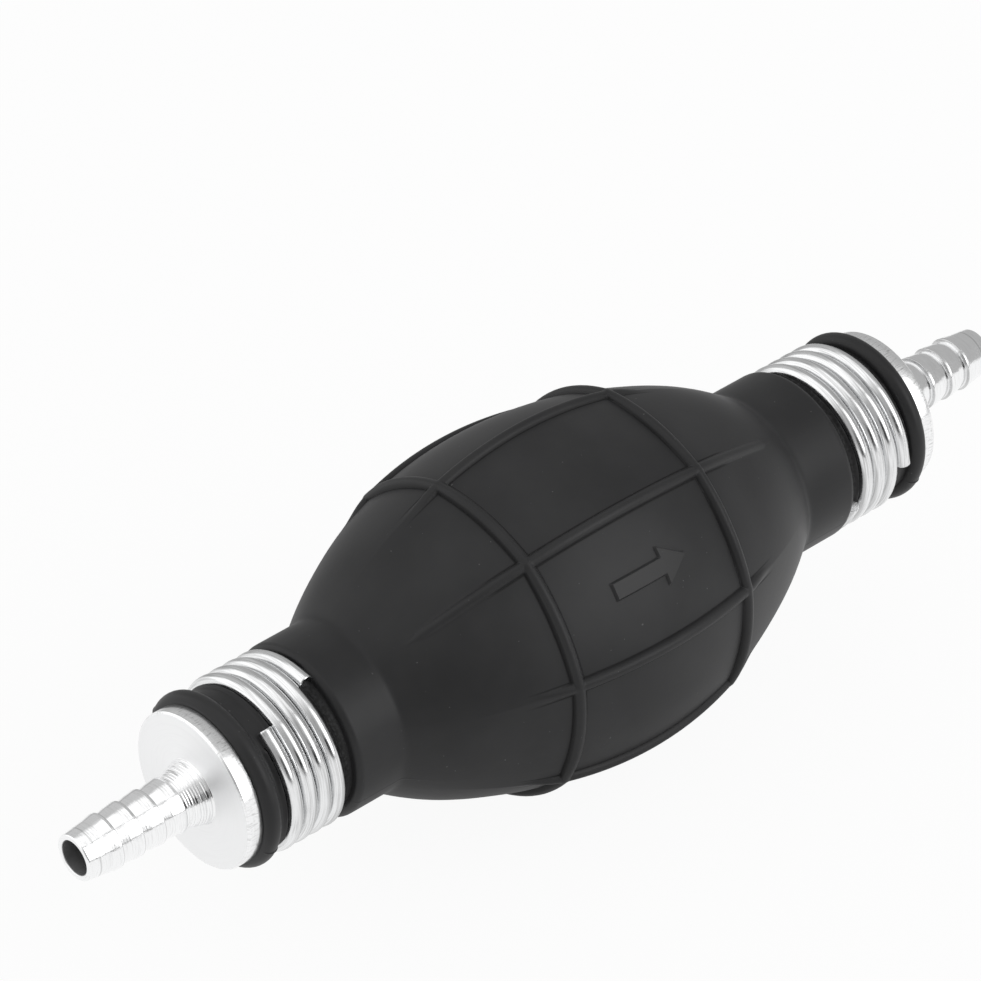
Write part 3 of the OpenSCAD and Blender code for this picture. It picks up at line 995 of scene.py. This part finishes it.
# grooves of the turning tool, deeper and uneven on the root
toolMark = {
    "feed": 0.40,
    "depth": 0.002,
    "rootDepth": 27,                    # depths more on the root, at its deepest
    "rootEnd": (3.2, 3.8),              # from the flange's face
    "start": (0.1, 0.3),                # from the flange's face
    "end": (0.4, 0.6),                  # from the tip
    "margins": (0.05, 0.2, 0.2),        # left smooth at the face, tip and port
}


def tailOutline():
    size = tail
    pitch = (size["flangeX"] - size["spigotX"]) / size["spigotBarbs"]
    spigot = []
    for i in range(size["spigotBarbs"]):
        start = size["spigotX"] + i * pitch
        spigot += [(start, size["spigotRadius"], 0),
                   (start + size["spigotRise"] * pitch, size["spigotBarbRadius"], 0),
                   (start + size["spigotDrop"] * pitch, size["spigotRadius"], 0)]
    face, rim, chamfer = size["faceX"], size["flangeRadius"], size["faceChamfer"]
    flange = [(size["flangeX"], size["spigotRadius"], 0),
              (size["flangeX"], rim, size["flangeFillet"]),
              (face - chamfer, rim, size["chamferFillet"]),
              (face, rim - chamfer, size["chamferFillet"]),
              (face, size["rootRadius"], size["rootFillet"])]
    barbs = []
    for i in range(size["barbs"]):
        x = face + size["rootLength"] + i * size["barbPitch"]
        step, land = x + size["barbStep"], x + size["barbStep"] + size["barbLand"]
        foot = size["valleyRadius"] if i < size["barbs"] - 1 else size["tipRadius"]
        bulge = (size["barbRadius"] + foot) / 2 + size["barbBelly"]
        barbs += [(x, size["valleyRadius"], size["valleyFillet"]),
                  (step, size["barbRadius"], size["landFillets"][0]),
                  (land, size["barbRadius"], size["landFillets"][1]),
                  (land + size["bellyAt"], bulge, size["bellyFillet"])]
    tip, edge, port = size["tipX"], size["tipEdge"], size["portRadius"]
    corners = [(tip - edge, size["tipRadius"]), (tip, size["tipRadius"] - edge),
               (tip, port + edge), (tip - edge, port)]
    mouth = [(*corner, fillet) for corner, fillet in zip(corners, size["tipFillets"])]
    portEnd = size["shoulderX"] + size["plenumLength"]
    outer = roundedLine([*spigot, *flange, *barbs, *mouth, (portEnd, port, 0)], 3)
    inner = np.array([
        (portEnd, size["plenumRadius"]),
        (size["shoulderX"], size["plenumRadius"]), (size["shoulderX"], size["pocketRadius"]),
        (size["pocketX"], size["pocketRadius"]), (size["pocketX"], size["snapRadius"]),
        (size["snapX"], size["snapRadius"]), (size["snapX"], size["pocketRadius"]),
        (size["spigotX"], size["pocketRadius"])])
    return outer, inner


def cutMarks(line):
    # the tool's grooves, square to the surface of the tail outside its flange
    mark = toolMark
    fine = fillLine(line, mark["feed"] / 8)
    step = np.gradient(fine, axis=0)
    length = np.maximum(np.linalg.norm(step, axis=1), 1e-9)
    out = np.stack([-step[:, 1], step[:, 0]], axis=-1) / length[:, None]
    travel = np.concatenate([[0], np.cumsum(np.linalg.norm(np.diff(fine, axis=0), axis=1))])
    wave = 0.5 - 0.5 * np.cos(tau * travel / mark["feed"])
    fromFace, fromTip = fine[:, 0] - tail["faceX"], tail["tipX"] - fine[:, 0]
    share = smoothStep(fromFace, *mark["start"]) * smoothStep(fromTip, *mark["end"])
    onRoot = 1 - smoothStep(fromFace, *mark["rootEnd"])
    uneven = 0.6 + 0.4 * np.sin(travel * 2.3) * np.sin(travel * 5.9 + 1)
    depth = mark["depth"] * (1 + mark["rootDepth"] * onRoot * uneven) * share
    return fine - out * (depth * wave)[:, None]


def makeTail(side, materials):
    outer, inner = tailOutline()
    face, tip, port = toolMark["margins"]
    marked = [k for k, (x, radius) in enumerate(outer)
              if tail["faceX"] + face < x < tail["tipX"] - tip
              and radius > tail["portRadius"] + port]
    first, last = min(marked), max(marked) + 1
    line = np.concatenate([outer[:first], cutMarks(outer[first:last]), outer[last:], inner])
    if side == "inlet":
        line = (line * (-1, 1))[::-1]
    segments = tail["segments"]
    x, angle, radius = turnedGrid(line, tau * np.arange(segments) / segments)
    points = aboutAxis(x, radius, angle).reshape(-1, 3)
    faces = gridFaces(len(line), segments, True)
    piece = addPiece(side + "Tail", points, faces, side + "_hose_tail", 32)
    dress(piece, materials, "turned_aluminium")
    print(side, "tail:", len(line), "rings")


valveSpring = {
    "wire": 0.5,
    "meanRadius": 2.3,
    "turns": 5,
    "endTurns": 0.75,
    "endPitch": 1.04,                   # of the close end turns, in wire diameters
    "endFade": (0.7, 1.3),              # shares of the end turns over which they open
    "sides": 12,
    "ringsPerTurn": 40,
    "length": 6.8,
    "lift": 1.6,
}


def makeValveSpring(side, materials):
    size = valveSpring
    node = side + "_valve_spring"
    low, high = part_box(node)
    start, end = low.x / mm, high.x / mm
    wire = size["wire"] / 2
    turns = size["turns"] + 2 * size["endTurns"]
    angle = np.linspace(0, turns * tau, round(turns * size["ringsPerTurn"]) + 1)
    # the end turns lie close, and the working turns between them are open
    early, late = [size["endTurns"] * fade for fade in size["endFade"]]
    share = smoothStep(angle / tau, early, late)
    share = share * (1 - smoothStep(angle / tau, turns - late, turns - early))
    between = (share[1:] + share[:-1]) / 2
    climb = np.concatenate([[0], np.cumsum(between)])
    flat = np.concatenate([[0], np.cumsum(1 - between)])
    close = 2 * size["wire"] * size["endPitch"] * size["endTurns"]
    free = end - start - size["wire"] - close
    out = aboutAxis(0 * angle, 1, angle)
    centre = size["meanRadius"] * out
    centre[:, 0] = start + wire + climb / climb[-1] * free + flat / flat[-1] * close
    along = np.gradient(centre, axis=0)
    along /= np.linalg.norm(along, axis=1)[:, None]
    rings = ringsOf(centre, along, out, wire, size["sides"])
    piece = cappedTube(side + "ValveSpring", rings, node)
    dress(piece, materials, "valve_spring_steel")
    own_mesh(piece)
    print(side, "valve spring:", len(rings), "rings")


valveParts = {
    "valve_seat": "seat_brass",
    "seat_oring": "nitrile",
    "valve_poppet": "valve_plastic",
    "poppet_seal": "nitrile",
    "valve_cage": "valve_plastic",
    "snap_ring": "ring_steel",
}


def dressValve(side, materials):
    for part, slot in valveParts.items():
        dress(frame["nodes"][side + "_" + part], materials, slot)
    print(side, "valve:", len(valveParts), "parts dressed")


stage = {
    "floorHalf": 3000,
    "floorGap": 0.05,
    "floorColour": grey(0.80),
    "shownWhite": 0.935,                # share of plain white in what the camera sees of the floor
    "ambient": 0.78,
}

# painted shade: what reflections see of the floor is painted darker in two areas, under the bulb as
# its shadow and behind it
floorShade = {
    "middle": (4, 15),                  # of the area under the bulb
    "reach": (52, 64),
    "fade": (0.6, 1.25),
    "depth": 0.50,
    "behind": (50, 110),                # the area behind it fades in between these y
    "from": (-60, 0),                   # and these x
    "behindDepth": 0.55,
}


def mirroredShade(paint):
    look = floorShade
    x, y, _ = paint.place()
    (middleX, middleY), (reachX, reachY) = inMetres(look["middle"]), inMetres(look["reach"])
    away = (((x - middleX) / reachX).math("POWER", 2)
            + ((y - middleY) / reachY).math("POWER", 2)).math("SQRT")
    under = look["depth"] * (1 - paint.step(away, *look["fade"]))
    behind = (look["behindDepth"] * paint.step(y, *inMetres(look["behind"]))
              * paint.step(x, *inMetres(look["from"])))
    return under.math("MAXIMUM", behind)


def makeFloor():
    half = stage["floorHalf"] * mm
    z = cadLow.z - stage["floorGap"] * mm
    mesh = bpy.data.meshes.new("floor")
    mesh.from_pydata([(-half, -half, z), (half, -half, z), (half, half, z), (-half, half, z)],
                     [], [(0, 1, 2, 3)])
    floor = bpy.data.objects.new("floor", mesh)
    bpy.context.scene.collection.objects.link(floor)
    material, paint = newPaint("floorWhite")
    rays = paint.node("ShaderNodeLightPath", {}, {}, "Is Camera Ray")
    mirrored = rays.other("Is Glossy Ray").math("MAXIMUM", rays.other("Is Transmission Ray"))
    shown = (rays * stage["shownWhite"]).math("MAXIMUM", mirrored)
    white = paint.mix(mirroredShade(paint) * mirrored, grey(1), grey(0))
    lit = paint.node("ShaderNodeBsdfDiffuse", {}, {"Color": stage["floorColour"]})
    plain = paint.node("ShaderNodeEmission", {}, {"Color": white, "Strength": 1.0})
    mixed = paint.node("ShaderNodeMixShader", {}, {0: shown, 1: lit, 2: plain})
    paint.node("ShaderNodeOutputMaterial", {}, {"Surface": mixed})
    mesh.materials.append(material)
    print("floor: at", round(z / mm, 2))


# the light tent that reflections see: turn is an angle about X from +Y in degrees, along is the
# direction's X part, and each is a band; a box adds its level to the base or takes it away
tent = {
    "base": 0.45,
    "boxes": (
        {"turn": (-30, 106, 24), "along": (-1.3, -0.08, 0.13), "level": 0.85},
        {"turn": (129, 174, 34), "along": (0.22, 0.56, 0.08), "level": 3.9},
        {"turn": (55, 157, 9), "along": (-0.07, 0.29, 0.09), "level": 0.75},
        {"turn": (-20, 95, 10), "along": (0.1, 0.45, 0.1), "level": 0.13},
        {"turn": (150, 190, 5), "along": (-0.5, 0.02, 0.03), "level": -0.42},
        {"turn": (152, 190, 6), "along": (0.04, 0.24, 0.04), "level": 0.60},
    ),
    # dark gaps in the tent, which show as thin lines in bright metal
    "gaps": (
        {"turn": (111.5, 114.5, 0.8), "along": (-0.05, 0.6, 0.05)},
        {"turn": (176, 180, 0.8), "along": (-0.05, 0.6, 0.05)},
    ),
    "gapDepth": 0.9,
}


def makeTent():
    world = bpy.data.worlds.new("tent")
    bpy.context.scene.world = world
    world.use_nodes = True
    paint = Paint(world.node_tree)
    rays = paint.node("ShaderNodeLightPath", {}, {}, "Is Camera Ray")
    along = paint.node("ShaderNodeSeparateXYZ", {},
                       {"Vector": paint.node("ShaderNodeTexCoord", {}, {}, "Generated")})
    turn = along.other("Z").math("ARCTAN2", along.other("Y")) * math.degrees(1)
    level = tent["base"]
    for box in tent["boxes"]:
        level = level + (box["level"] * paint.band(turn, *box["turn"])
                         * paint.band(along, *box["along"]))
    for gap in tent["gaps"]:
        level = level * (1 - tent["gapDepth"] * paint.band(turn, *gap["turn"])
                         * paint.band(along, *gap["along"]))
    pattern = paint.combine(level, level, level)
    seen = paint.mix(rays.other("Is Glossy Ray"), grey(stage["ambient"]), pattern)
    seen = paint.mix(rays, seen, grey(1))
    background = paint.node("ShaderNodeBackground", {}, {"Color": seen, "Strength": 1.0})
    paint.node("ShaderNodeOutputWorld", {}, {"Surface": background})
    print("tent:", len(tent["boxes"]), "boxes,", len(tent["gaps"]), "gaps")


# seen neither by the camera nor by reflections
fillLight = {
    "place": (700, -750, 550),
    "size": 900,
    "power": 4.3,
}


def makeFillLight():
    data = bpy.data.lights.new("fillLight", "AREA")
    data.size = fillLight["size"] * mm
    data.energy = fillLight["power"]
    lamp = bpy.data.objects.new("fillLight", data)
    bpy.context.scene.collection.objects.link(lamp)
    lamp.location = inMetres(fillLight["place"])
    lamp.rotation_euler = (-lamp.location).to_track_quat("-Z", "Y").to_euler()
    lamp.visible_glossy = False
    lamp.visible_camera = False
    print("fill light:", fillLight["power"], "W")


camera = {
    "place": (-396.9, -433.7, 475.2),
    "tiltFromDown": 52.07,
    "azimuth": -41.68,
    "lens": 204.8,
    "sensor": 36.0,
    "clip": (10, 50000),
}


def makeCamera():
    data = bpy.data.cameras.new("camera")
    data.lens = camera["lens"]
    data.sensor_width = camera["sensor"]
    data.clip_start, data.clip_end = inMetres(camera["clip"])
    made = bpy.data.objects.new("camera", data)
    bpy.context.scene.collection.objects.link(made)
    made.location = inMetres(camera["place"])
    made.rotation_euler = (math.radians(camera["tiltFromDown"]), 0, math.radians(camera["azimuth"]))
    bpy.context.scene.camera = made
    print("camera: lens", camera["lens"])


bpy.context.scene.view_settings.view_transform = "Standard"
materials = makeMaterials()
makeBulb(materials)
for side in ("inlet", "outlet"):
    makeClamp(side, materials)
    makeTail(side, materials)
    makeValveSpring(side, materials)
    dressValve(side, materials)
makeFloor()
makeTent()
makeFillLight()
makeCamera()
